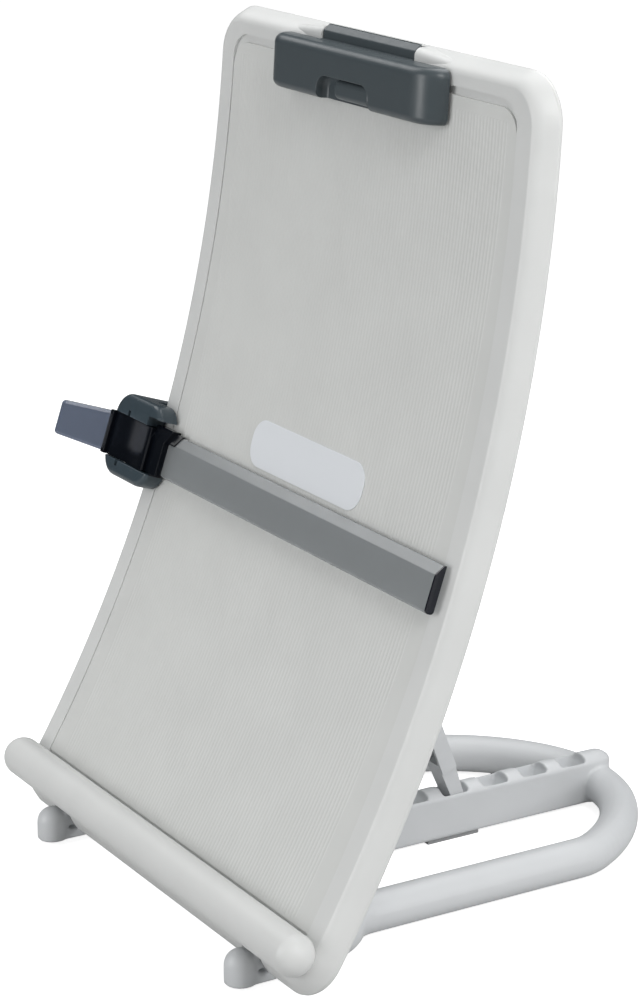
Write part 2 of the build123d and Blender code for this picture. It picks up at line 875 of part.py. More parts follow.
def path_step(x, y, heading, radius, turn):
    """Next arc of a path, or a straight of the turn's length if the radius is 0."""
    if radius == 0:
        end = (x + turn * cos(heading), y + turn * sin(heading))
        return Line((x, y), end), end[0], end[1], heading
    sense = 1 if turn > 0 else -1
    centre_x = x - sense * radius * sin(heading)
    centre_y = y + sense * radius * cos(heading)

    def at(angle):
        return (
            centre_x + sense * radius * sin(heading + angle),
            centre_y - sense * radius * cos(heading + angle),
        )

    end = at(turn)
    return ThreePointArc((x, y), at(turn / 2), end), end[0], end[1], heading + turn


def base_loop():
    """Tube loop with a cross tube and two arms that end in hinge ears."""
    path = loop_path()
    start = path @ 0
    section = Plane(origin=start, z_dir=(0, 1, 0)) * Circle(tube_radius)
    loop = sweep(section, path)
    loop += cross_rod(0, 2 * (leg_half_gap + arm_shift), -cross_tube_ahead, tube_height, cross_tube_radius)
    for side in sides():
        loop += hinge_arm(side, abs(start.X), start.Y)
    return loop


def hinge_arm(side, leg_x, leg_y):
    """Arm from a leg's front end to the bullet-shaped ear with its knuckle."""
    x = side * ear_half_gap
    ear_y = -hinge_ahead - ear_ahead_of_hinge
    ear_middle = (ear_floor_gap + ear_dome_height) / 2
    ear = Pos(x, ear_y, ear_middle) * Cylinder(ear_radius, ear_dome_height - ear_floor_gap)
    ear += Pos(x, ear_y, ear_dome_height) * Sphere(ear_radius)
    knuckle_low = ear_middle + tongue_thickness / 2
    ear += cross_rod(x, knuckle_width, -hinge_ahead, hinge_height, knuckle_radius)
    ear += Pos(x, (ear_y - hinge_ahead + knuckle_radius) / 2, (knuckle_low + hinge_height) / 2) * Box(
        knuckle_width, ear_ahead_of_hinge + knuckle_radius, hinge_height - knuckle_low
    )
    tongue_z = ear_floor_gap + tongue_thickness / 2
    ear += Pos(x, ear_y + tongue_length / 2, tongue_z) * Box(tongue_width, tongue_length, tongue_thickness)
    narrow = Plane(origin=(x, ear_y + tongue_length, tongue_z), x_dir=(1, 0, 0), z_dir=(0, 1, 0))
    wide = Plane(origin=(side * leg_x, leg_y, tube_height), x_dir=(1, 0, 0), z_dir=(0, 1, 0))
    ear += loft([narrow * Rectangle(tongue_width, tongue_thickness), wide * Circle(tube_radius)])
    return ear - cross_rod(x, slot_width, -hinge_ahead, hinge_height, hinge_pin_radius)


def ratchet_rail(loop):
    """Crowned rail with ramped notches, saddled on the cross tube and the loop's rear."""
    half = rail_width / 2
    crown = ThreePointArc(
        (half, rail_lip_height), (0, rail_lip_height + rail_crown), (-half, rail_lip_height)
    )
    sides_and_foot = Polyline(
        (-half, rail_lip_height), (-half, rail_pad_thickness), (half, rail_pad_thickness),
        (half, rail_lip_height)
    )
    face = make_face(crown + sides_and_foot)
    face = fillet(face.vertices().sort_by(Axis.Y)[-2:], rail_lip_round)
    front = -cross_tube_ahead
    rear = rail_end_behind - half
    section = Plane(origin=(0, front, 0), x_dir=(-1, 0, 0), z_dir=(0, 1, 0)) * face
    rail = extrude(section, rear - front)
    rail += revolved_end(rear)
    for number in range(-notches_ahead_of_foot, notches_behind_foot + 1):
        rail -= notch(notch_wall_behind + number * notch_pitch)
    return (rail - loop).solids().sort_by(SortBy.VOLUME)[-1]


def revolved_end(rear):
    """Round rear end of the rail, its section turned about an upright axis."""
    half = rail_width / 2
    crown_radius = (half ** 2 + rail_crown ** 2) / (2 * rail_crown)
    drop = crown_radius - (crown_radius ** 2 - half ** 2 / 4) ** 0.5
    crown_middle = (half / 2, rail_lip_height + rail_crown - drop)
    crown = ThreePointArc(
        (half, rail_lip_height), crown_middle, (0, rail_lip_height + rail_crown)
    )
    frame = Polyline((0, rail_lip_height + rail_crown), (0, rail_pad_thickness), (half, rail_pad_thickness),
                     (half, rail_lip_height))
    face = make_face(crown + frame)
    face = fillet(face.vertices().sort_by(Axis.Y)[-2:].sort_by(Axis.X)[-1], rail_lip_round)
    return Pos(0, rear, 0) * revolve(Plane.XZ * face, Axis.Z)


def notch(wall):
    """Cutter for one notch: steep rear wall, short floor and a ramp at the front."""
    top = rail_lip_height + rail_crown + overrun
    points = [
        (wall, top), (wall, rail_lip_height), (wall - notch_wall_lean, notch_floor),
        (wall - notch_wall_lean - notch_floor_length, notch_floor), (wall - notch_length, rail_lip_height),
        (wall - notch_length, top)
    ]
    return extrude(Plane.YZ * make_face(Polyline(*points, close=True)), notch_half_width, both=True)


def hinge_pins():
    """Short pins pressed through the ears into the board's edge."""
    length = slot_width + 2 * hinge_bite - hinge_play * 2
    pin = cross_rod(0, length, -hinge_ahead, hinge_height, hinge_pin_radius)
    return [Pos(side * ear_half_gap, 0, 0) * pin for side in sides()]


def round_pad(x, y, tube):
    """Soft pad under a tube, hollowed to fit it."""
    return Pos(x, y, tube_radius / 4) * Cylinder(pad_radius, tube_radius / 2) - tube


def front_pads(loop):
    """Pads under the cross tube."""
    return [round_pad(side * leg_half_gap, -front_pad_ahead, loop) for side in sides()]


def rear_pads(loop):
    """Pads under the loop's rear bow."""
    place = loop_path() @ rear_pad_path_share
    return [round_pad(side * place.X, place.Y, loop) for side in sides()]


def rail_pad():
    """Pad under the middle of the rail."""
    return Pos(0, 0, rail_pad_thickness / 2) * Box(rail_pad_width, rail_pad_length, rail_pad_thickness)


def pieces():
    """Every node of the holder with its solid or solids."""
    loop = base_loop()
    return {
        "base_loop": loop,
        "ratchet_rail": ratchet_rail(loop),
        "hinge_pins": hinge_pins(),
        "front_pads": front_pads(loop),
        "rear_pads": rear_pads(loop),
        "rail_pad": rail_pad(),
        "board_shell": board_shell(),
        "ribbed_sheet": ribbed_sheet(),
        "rear_cover": rear_cover(),
        "cover_screws": cover_screws(),
        "ledge_bar": ledge_bar(),
        "label_plate": label_plate(),
        "strut_bracket": strut_bracket(),
        "bracket_screws": bracket_screws(),
        "strut_pin": strut_pin(),
        "prop_strut": prop_strut(),
        "clip_pin": clip_pin(),
        "clip_jaw": clip_jaw(),
        "clip_grip_pad": clip_grip_pad(),
        "clip_spring": clip_spring(),
        "carriage_front": carriage_front(),
        "carriage_back": carriage_back(),
        "carriage_screws": carriage_screws(),
        "friction_shoe": friction_shoe(),
        "rocker_pin": rocker_pin(),
        "rocker_spring": rocker_spring(),
        "rocker_block": rocker_block(),
        "guide_lever": guide_lever(),
        "bar_holder": bar_holder(),
        "guide_bar": guide_bar(),
        "bar_end_cap": bar_end_cap(),
    }


def main():
    """Write one STEP file per node."""
    os.makedirs("parts", exist_ok=True)
    for name, shape in pieces().items():
        solids = shape if isinstance(shape, list) else [shape]
        whole = solids[0] if len(solids) == 1 else Compound(children=solids)
        export_step(whole, f"parts/{name}.step")
        print(name, len(whole.solids()), round(whole.volume))


if __name__ == "__main__":
    main()
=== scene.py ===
import json
import logging
import math
from dataclasses import dataclass
from enum import Enum
from typing import Callable, Iterable, Sequence

import bmesh
import bpy
from mathutils import Matrix, Vector


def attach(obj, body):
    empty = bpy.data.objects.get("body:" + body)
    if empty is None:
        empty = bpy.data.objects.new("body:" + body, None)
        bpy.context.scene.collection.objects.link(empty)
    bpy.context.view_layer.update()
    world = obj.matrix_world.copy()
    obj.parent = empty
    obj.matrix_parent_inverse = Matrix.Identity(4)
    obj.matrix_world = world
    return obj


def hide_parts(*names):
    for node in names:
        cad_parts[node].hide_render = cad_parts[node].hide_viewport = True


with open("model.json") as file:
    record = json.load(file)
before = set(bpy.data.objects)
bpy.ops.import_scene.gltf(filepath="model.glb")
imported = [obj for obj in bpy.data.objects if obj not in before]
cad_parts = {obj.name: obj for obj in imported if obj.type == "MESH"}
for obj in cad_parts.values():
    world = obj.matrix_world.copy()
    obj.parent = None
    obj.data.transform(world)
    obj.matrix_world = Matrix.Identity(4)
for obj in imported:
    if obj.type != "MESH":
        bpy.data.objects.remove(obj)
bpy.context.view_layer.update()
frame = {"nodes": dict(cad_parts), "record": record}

LOG = logging.getLogger("document_holder")
# Millimetre in metres, and gaps in metres below which points are joined.
MM = 0.001
COPY_GAP = 0.000001
PIECE_GAP = 0.000002
# Least angle of a sharp edge in radians, and least share of a direction that lies along an axis: roughly,
# strictly and fully.
SHARP_ANGLE = 0.5
ALONG = 0.9
STRICTLY_ALONG = 0.99
FULLY_ALONG = 0.999
# How near a place a point is, in millimetres, where it counts as being near it or on it.
NEAR = 0.1
TOUCHING = 0.01
# The mix node's sockets share their names, so its colours go by number.
FIRST_COLOR, SECOND_COLOR, MIXED_COLOR = 6, 7, 2
Color = tuple[float, float, float]
Place = tuple[float, float, float]
Box = tuple[Place, Place]
Test = Callable[[object], bool]


def srgb(red: int, green: int, blue: int) -> Color:
    """Turns an 8-bit display colour into linear light.

    Args:
        red: Red from 0 to 255.
        green: Green from 0 to 255.
        blue: Blue from 0 to 255.

    Returns:
        The colour as linear values from 0 to 1.
    """

    def linear(value: float) -> float:
        """One channel in linear light."""
        share = value / 255
        return share / 12.92 if share <= 0.04045 else ((share + 0.055) / 1.055) ** 2.4

    return (linear(red), linear(green), linear(blue))


class Part(Enum):
    """Parts of a mesh that edit mode can pick."""

    FACE = "FACE"
    EDGE = "EDGE"
    POINT = "VERT"


class Grain(Enum):
    """Kinds of surface that a moulded piece comes out of its tool with."""

    SATIN = "satin"
    POLISHED = "polished"


class NodeBoard:
    """Adds and links the shader nodes of one material."""

    def __init__(self, name: str) -> None:
        """Starts an empty node material.

        Args:
            name: Name of the material.
        """
        self.material = bpy.data.materials.new(name)
        self.material.use_nodes = True
        self.start(self.material.node_tree, "ShaderNodeOutputMaterial", "Object")

    @classmethod
    def of_tree(cls, tree: bpy.types.NodeTree, output: str, space: str) -> "NodeBoard":
        """Board for a node tree that is no material's."""
        board = cls.__new__(cls)
        board.start(tree, output, space)
        return board

    def start(self, tree: bpy.types.NodeTree, output: str, space: str) -> None:
        """Empties a tree and gives it its output and its coordinates.

        Args:
            tree: The node tree.
            output: Type name of its output node.
            space: Name of the coordinates that its patterns follow.
        """
        self.tree = tree
        tree.nodes.clear()
        self.output = self.add(output)
        self.place = self.add("ShaderNodeTexCoord").outputs[space]

    def add(self, kind: str, inputs: dict[str, object] | None = None, **settings: object) -> bpy.types.Node:
        """Adds one node.

        Args:
            kind: Blender's type name of the node.
            inputs: Values or sockets for its inputs, by name.
            **settings: Properties of the node.

        Returns:
            The new node.
        """
        node = self.tree.nodes.new(kind)
        for key, value in settings.items():
            setattr(node, key, value)
        for key, value in (inputs or {}).items():
            if isinstance(value, bpy.types.NodeSocket):
                self.tree.links.new(value, node.inputs[key])
            else:
                node.inputs[key].default_value = value
        return node

    def noise(self, size: float, detail: float = 3.0, roughness: float = 0.5) -> bpy.types.NodeSocket:
        """Cloudy pattern whose features have a size in metres.

        Args:
            size: Size of a feature in metres.
            detail: Octaves of finer pattern.
            roughness: Strength of the finer octaves.

        Returns:
            The pattern's value socket.
        """
        node = self.add("ShaderNodeTexNoise", {"Vector": self.place, "Scale": 1 / size, "Detail": detail,
                                               "Roughness": roughness})
        return node.outputs["Fac"]

    def ramp(self, value: bpy.types.NodeSocket, low: float, high: float, start: float = 0.3,
             end: float = 0.7) -> bpy.types.NodeSocket:
        """Maps a value that runs between two limits onto two others.

        Args:
            value: The socket to map.
            low: Result at the start.
            high: Result at the end.
            start: Value that gives the low result.
            end: Value that gives the high result.

        Returns:
            The mapped socket.
        """
        node = self.add("ShaderNodeMapRange", {"Value": value, "From Min": start, "From Max": end,
                                               "To Min": low, "To Max": high})
        return node.outputs["Result"]

    def tint(self, value: bpy.types.NodeSocket, first: Color, second: Color) -> bpy.types.NodeSocket:
        """Mixes two colours by a pattern.

        Args:
            value: Share of the second colour.
            first: Colour where the pattern is low.
            second: Colour where the pattern is high.

        Returns:
            The colour socket.
        """
        node = self.add("ShaderNodeMix", data_type="RGBA")
        self.tree.links.new(value, node.inputs["Factor"])
        node.inputs[FIRST_COLOR].default_value = (*first, 1)
        node.inputs[SECOND_COLOR].default_value = (*second, 1)
        return node.outputs[MIXED_COLOR]

    def bump(self, height: bpy.types.NodeSocket, depth: float,
             below: bpy.types.NodeSocket | None = None) -> bpy.types.NodeSocket:
        """Relief of a real depth.

        Args:
            height: Pattern from 0 to 1.
            depth: Height of the relief in metres.
            below: Normal that the relief lies on.

        Returns:
            The normal socket.
        """
        inputs: dict[str, object] = {"Height": height, "Distance": depth, "Strength": 1.0}
        if below is not None:
            inputs["Normal"] = below
        return self.add("ShaderNodeBump", inputs).outputs["Normal"]

    def surface(self, inputs: dict[str, object]) -> bpy.types.Material:
        """Closes the material with a Principled surface.

        Args:
            inputs: Values or sockets of the surface.

        Returns:
            The finished material.
        """
        shader = self.add("ShaderNodeBsdfPrincipled", inputs)
        self.tree.links.new(shader.outputs["BSDF"], self.output.inputs["Surface"])
        return self.material


def shade(color: Color, factor: float) -> Color:
    """The colour made darker or lighter by a factor."""
    return tuple(min(1.0, channel * factor) for channel in color)


@dataclass(frozen=True)
class MouldedPlastic:
    """Opaque injection-moulded plastic with the grain of its tool."""

    name: str
    color: Color
    roughness: float = 0.42
    grain: Grain = Grain.SATIN
    grain_size: float = 0.00035
    grain_depth: float = 0.000012
    mottle: float = 0.02
    wear: float = 0.04
    ior: float = 1.49
    cloud_size: float = 0.03
    wear_size: float = 0.006

    def material(self) -> bpy.types.Material:
        """Builds the node material.

        Returns:
            The finished material.
        """
        board = NodeBoard(self.name)
        low, high = shade(self.color, 1 - self.mottle), shade(self.color, 1 + self.mottle)
        cloud = board.noise(self.cloud_size, detail=2.0)
        color = board.tint(board.ramp(cloud, 0, 1), low, high)
        wear = board.noise(self.wear_size, detail=4.0)
        spread = self.wear if self.grain is Grain.SATIN else self.wear / 2
        rough = board.ramp(wear, self.roughness - spread, self.roughness + spread)
        normal = board.bump(board.noise(self.grain_size, detail=2.0, roughness=0.6), self.grain_depth)
        return board.surface({"Base Color": color, "Roughness": rough, "Normal": normal, "IOR": self.ior})


@dataclass(frozen=True)
class ClearPlastic:
    """Tinted see-through plastic."""

    name: str
    color: Color
    roughness: float = 0.08
    transmission: float = 0.6
    ior: float = 1.49
    mottle: float = 0.04
    cloud_size: float = 0.02
    streak_size: float = 0.004
    grain_size: float = 0.0008
    grain_depth: float = 0.000006

    def material(self) -> bpy.types.Material:
        """Builds the node material.

        Returns:
            The finished material.
        """
        board = NodeBoard(self.name)
        streak = board.noise(self.streak_size)
        rough = board.ramp(streak, self.roughness * 0.8, self.roughness * 1.3)
        low, high = shade(self.color, 1 - self.mottle), shade(self.color, 1 + self.mottle)
        color = board.tint(board.noise(self.cloud_size), low, high)
        normal = board.bump(board.noise(self.grain_size, detail=2.0), self.grain_depth)
        return board.surface({"Base Color": color, "Roughness": rough, "Normal": normal, "IOR": self.ior,
                              "Transmission Weight": self.transmission})


@dataclass(frozen=True)
class GroundSteel:
    """Plain steel of pins, screws and springs."""

    name: str
    color: Color
    roughness: float = 0.3
    polished: float = 0.08
    dulled: float = 0.1
    scratch_size: float = 0.0006
    scratch_depth: float = 0.000005

    def material(self) -> bpy.types.Material:
        """Builds the node material.

        Returns:
            The finished material.
        """
        board = NodeBoard(self.name)
        scratch = board.noise(self.scratch_size, detail=4.0)
        rough = board.ramp(scratch, self.roughness - self.polished, self.roughness + self.dulled)
        normal = board.bump(scratch, self.scratch_depth)
        return board.surface({"Base Color": (*self.color, 1), "Metallic": 1.0, "Roughness": rough,
                              "Normal": normal})


@dataclass(frozen=True)
class SoftRubber:
    """Matt rubber of pads and shoes."""

    name: str
    color: Color
    roughness: float = 0.85
    mottle: float = 0.3
    speck_size: float = 0.0005
    speck_depth: float = 0.00003

    def material(self) -> bpy.types.Material:
        """Builds the node material.

        Returns:
            The finished material.
        """
        board = NodeBoard(self.name)
        speck = board.noise(self.speck_size)
        color = board.tint(speck, shade(self.color, 1 - self.mottle), shade(self.color, 1 + self.mottle))
        normal = board.bump(speck, self.speck_depth)
        return board.surface({"Base Color": color, "Roughness": self.roughness, "Normal": normal})


FINISHES = {
    "board_plastic": MouldedPlastic("board_moulding", srgb(210, 211, 210)),
    "base_plastic": MouldedPlastic("base_moulding", srgb(202, 204, 206)),
    "ribbed_plastic": MouldedPlastic("ribbed_panel", srgb(206, 207, 205), roughness=0.5),
    "plate_plastic": MouldedPlastic("plain_plate", srgb(225, 228, 232), roughness=0.3, mottle=0.004,
                                    wear=0.004),
    "clip_plastic": MouldedPlastic("clip_moulding", srgb(66, 74, 78), roughness=0.34),
    "carriage_plastic": MouldedPlastic("carriage_moulding", srgb(58, 69, 76), roughness=0.24),
    "rocker_plastic": MouldedPlastic("rocker_moulding", srgb(10, 13, 19), roughness=0.12,
                                     grain=Grain.POLISHED, ior=1.25),
    "lever_clear": ClearPlastic("lever_tint", srgb(116, 126, 146)),
    "bar_clear": ClearPlastic("bar_tint", srgb(177, 181, 183), roughness=0.2),
    "cap_plastic": MouldedPlastic("cap_moulding", srgb(14, 16, 26), roughness=0.14, grain=Grain.POLISHED),
    "pad_rubber": SoftRubber("pad_rubber", srgb(150, 151, 152)),
    "pin_steel": GroundSteel("pin_steel", srgb(188, 188, 186)),
    "screw_steel": GroundSteel("screw_steel", srgb(184, 184, 180)),
    "spring_steel": GroundSteel("spring_steel", srgb(172, 172, 172)),
}


@dataclass
class CarriedNodes:
    """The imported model's own nodes, which keep their shape and get their finish here."""

    materials: dict[str, bpy.types.Material]

    def dress(self) -> None:
        """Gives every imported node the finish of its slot."""
        slots = {row["node"]: row["material_slot"] for row in frame["record"]["subparts"]}
        for name, node in frame["nodes"].items():
            node.data.materials.clear()
            node.data.materials.append(self.materials[slots[name]])


class Workpiece:
    """A new piece, shaped in millimetres on its own axes before it is put in its place."""

    def __init__(self, name: str) -> None:
        """Takes the active object over.

        Args:
            name: Name of the piece.
        """
        self.object = bpy.context.active_object
        self.object.name = name

    @classmethod
    def block(cls, name: str, low: Sequence[float], high: Sequence[float]) -> "Workpiece":
        """Block between two corners.

        Args:
            name: Name of the piece.
            low: Lowest corner in millimetres.
            high: Highest corner in millimetres.

        Returns:
            The block.
        """
        bpy.ops.object.select_all(action="DESELECT")
        bpy.ops.mesh.primitive_cube_add(size=1, location=[(a + b) / 2 for a, b in zip(low, high)])
        piece = cls(name)
        piece.object.scale = [b - a for a, b in zip(low, high)]
        piece.freeze()
        return piece

    @classmethod
    def ball(cls, name: str, radius: float) -> "Workpiece":
        """Ball round the origin, its poles on x."""
        bpy.ops.object.select_all(action="DESELECT")
        bpy.ops.mesh.primitive_uv_sphere_add(segments=72, ring_count=36, radius=radius)
        return cls(name).turned(90, "Y")

    @classmethod
    def moulding(cls, name: str, nodes: Iterable[str]) -> "Workpiece":
        """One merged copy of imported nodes, in metres and in its place.

        Args:
            name: Name of the piece.
            nodes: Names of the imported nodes.

        Returns:
            The copy.
        """
        bpy.ops.object.select_all(action="DESELECT")
        for node in nodes:
            copy = bpy.data.objects.new(name, frame["nodes"][node].data.copy())
            bpy.context.scene.collection.objects.link(copy)
            copy.select_set(True)
            bpy.context.view_layer.objects.active = copy
        bpy.ops.object.join()
        piece = cls(name)
        piece.merge(COPY_GAP)
        return piece

    def freeze(self) -> None:
        """Applies the object's place, turn and size to its mesh."""
        self.activate()
        bpy.ops.object.transform_apply(location=True, rotation=True, scale=True)

    def activate(self) -> None:
        """Makes this the only selected object."""
        bpy.ops.object.select_all(action="DESELECT")
        self.object.select_set(True)
        bpy.context.view_layer.objects.active = self.object

    def pick(self, part: Part, test: Test) -> None:
        """Goes to edit mode with the faces, edges or points that pass a test selected.

        Args:
            part: What is selected.
            test: Says of a face, edge or point if it is taken.
        """
        self.activate()
        bpy.ops.object.mode_set(mode="EDIT")
        bpy.ops.mesh.select_mode(type=part.value)
        mesh = bmesh.from_edit_mesh(self.object.data)
        mesh.normal_update()
        for items in (mesh.verts, mesh.edges, mesh.faces):
            for item in items:
                item.select = False
        for item in {Part.FACE: mesh.faces, Part.EDGE: mesh.edges, Part.POINT: mesh.verts}[part]:
            if test(item):
                item.select_set(True)
        mesh.select_flush_mode()
        bmesh.update_edit_mesh(self.object.data)

    def merge(self, gap: float) -> "Workpiece":
        """Joins points closer than a gap and turns every face outward."""
        self.pick(Part.FACE, lambda face: True)
        bpy.ops.mesh.select_all(action="SELECT")
        bpy.ops.mesh.remove_doubles(threshold=gap)
        bpy.ops.mesh.normals_make_consistent(inside=False)
        return self.close()

    def close(self) -> "Workpiece":
        """Goes back to object mode."""
        bpy.ops.object.mode_set(mode="OBJECT")
        return self

    def bevel(self, test: Test, width: float, segments: int) -> "Workpiece":
        """Rounds the edges that pass a test.

        Args:
            test: Which edges.
            width: Width of the round in millimetres.
            segments: Number of steps across it.

        Returns:
            The piece itself.
        """
        self.pick(Part.EDGE, test)
        bpy.ops.mesh.bevel(offset=width, segments=segments, affect="EDGES", clamp_overlap=False)
        return self.close()

    def inset(self, test: Test, steps: Iterable[tuple[float, float]]) -> "Workpiece":
        """Draws the faces that pass a test in and up, step by step.

        Args:
            test: Which faces.
            steps: Distance inward and upward of each step, in millimetres.

        Returns:
            The piece itself.
        """
        self.pick(Part.FACE, test)
        for inward, upward in steps:
            bpy.ops.mesh.inset(thickness=inward, depth=upward)
        return self.close()

    def resize(self, test: Test, factors: Sequence[float]) -> "Workpiece":
        """Stretches the points that pass a test about their own middle."""
        self.pick(Part.POINT, test)
        bpy.ops.transform.resize(value=factors)
        return self.close()

    def shift(self, test: Test, move: Sequence[float]) -> "Workpiece":
        """Moves the points that pass a test."""
        self.pick(Part.POINT, test)
        bpy.ops.transform.translate(value=move)
        return self.close()

    def slices(self, axis: int, places: Iterable[float]) -> "Workpiece":
        """Cuts the surface into strips without taking anything off it.

        Args:
            axis: Number of the axis that the cuts stand across.
            places: Where the cuts are, in millimetres.

        Returns:
            The piece itself.
        """
        normal = [1.0 if index == axis else 0.0 for index in range(3)]
        self.pick(Part.FACE, lambda face: True)
        for place in places:
            bpy.ops.mesh.select_all(action="SELECT")
            bpy.ops.mesh.bisect(plane_co=[place * part for part in normal], plane_no=normal)
        return self.close()

    def modify(self, kind: str, **settings: object) -> "Workpiece":
        """Adds one modifier and applies it."""
        self.activate()
        modifier = self.object.modifiers.new(kind.lower(), kind)
        for key, value in settings.items():
            setattr(modifier, key, value)
        bpy.ops.object.modifier_apply(modifier=modifier.name)
        return self

    def cut(self, *cutters: "Workpiece") -> "Workpiece":
        """Takes other pieces' room out of this one."""
        for cutter in cutters:
            self.modify("BOOLEAN", object=cutter.object, operation="DIFFERENCE", solver="EXACT")
            bpy.data.objects.remove(cutter.object)
        return self

    def add(self, *others: "Workpiece") -> "Workpiece":
        """Joins other pieces' shells to this one."""
        self.activate()
        for other in others:
            other.object.select_set(True)
        bpy.ops.object.join()
        return self

    def repeat(self, count: int, step: Sequence[float]) -> "Workpiece":
        """Repeats the piece along a step in millimetres."""
        return self.modify("ARRAY", count=count, use_relative_offset=False, use_constant_offset=True,
                           constant_offset_displace=step)

    def turned(self, angle: float, axis: str) -> "Workpiece":
        """Turns the piece about one of its own axes by an angle in degrees."""
        self.object.matrix_world = Matrix.Rotation(math.radians(angle), 4, axis)
        self.freeze()
        return self

    def moved(self, move: Sequence[float]) -> "Workpiece":
        """Moves the whole piece, in millimetres."""
        self.object.location = move
        self.freeze()
        return self


@dataclass(frozen=True)
class PageArc:
    """The arc that the page follows: side, arc length up the page and distance in front of it."""

    radius: float = 666.6
    foot_slope: float = 32.84
    center_y: float = -708.9165
    center_z: float = 373.018

    def angle(self, run: float) -> float:
        """Angle in radians at an arc length."""
        return run / self.radius - math.radians(self.foot_slope)

    def plane(self, run: float) -> Matrix:
        """Axes of the page at an arc length: x to the right, y up the page and z to the reader."""
        angle = self.angle(run)
        out = Vector((0, -math.cos(angle), -math.sin(angle)))
        up = Vector((0, -math.sin(angle), math.cos(angle)))
        place = Vector((0, self.center_y, self.center_z)) - self.radius * out
        axes = Matrix((Vector((1, 0, 0)), up, out)).transposed().to_4x4()
        return Matrix.Scale(MM, 4) @ Matrix.Translation(place) @ axes

    def put(self, piece: Workpiece, run: float) -> None:
        """Lays a flat piece on the page, its own origin at an arc length."""
        piece.object.matrix_world = self.plane(run)
        piece.freeze()

    def bend(self, piece: Workpiece) -> None:
        """Bends a piece modelled flat, with y as its arc length, onto the page."""
        turn = Matrix(((0, 1, 0), (0, 0, 1), (1, 0, 0))).to_4x4()
        piece.object.matrix_world = turn
        piece.freeze()
        runs = [vertex.co.x for vertex in piece.object.data.vertices]
        piece.modify("SIMPLE_DEFORM", deform_method="BEND", deform_axis="Z",
                     angle=(max(runs) - min(runs)) / self.radius)
        piece.object.matrix_world = self.plane(0) @ turn.inverted()
        piece.freeze()


ARC = PageArc()


@dataclass(frozen=True)
class Workshop:
    """Hands finished pieces over to the scene."""

    materials: dict[str, bpy.types.Material]

    def hand_over(self, piece: Workpiece, body: str, slot: str, *nodes: str, angle: float = 32.0) -> None:
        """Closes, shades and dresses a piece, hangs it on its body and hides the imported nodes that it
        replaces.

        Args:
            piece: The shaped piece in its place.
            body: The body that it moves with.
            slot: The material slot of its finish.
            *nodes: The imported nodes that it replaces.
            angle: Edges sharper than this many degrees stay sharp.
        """
        piece.merge(PIECE_GAP)
        bpy.ops.object.shade_smooth_by_angle(angle=math.radians(angle))
        piece.modify("WEIGHTED_NORMAL", keep_sharp=True)
        piece.object.data.materials.clear()
        piece.object.data.materials.append(self.materials[slot])
        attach(piece.object, body)
        if nodes:
            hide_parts(*nodes)
        LOG.info("%s: %d faces, rides on %s", piece.object.name, len(piece.object.data.polygons), body)


def upright(edge: bmesh.types.BMEdge) -> bool:
    """Whether an edge runs along the piece's z."""
    first, second = edge.verts
    return abs(first.co.z - second.co.z) > ALONG * (first.co - second.co).length


def sharp(edge: bmesh.types.BMEdge) -> bool:
    """Whether an edge is a sharp outer one."""
    return edge.calc_face_angle_signed(0) > SHARP_ANGLE


def facing(axis: int) -> Test:
    """Test for faces whose normal points along an axis."""
    return lambda face: face.normal[axis] > ALONG


def rim_of(axis: int, sense: float = 1.0) -> Test:
    """Test for the edges round the faces that point along an axis."""
    return lambda edge: sum(sense * face.normal[axis] > STRICTLY_ALONG for face in edge.link_faces) == 1


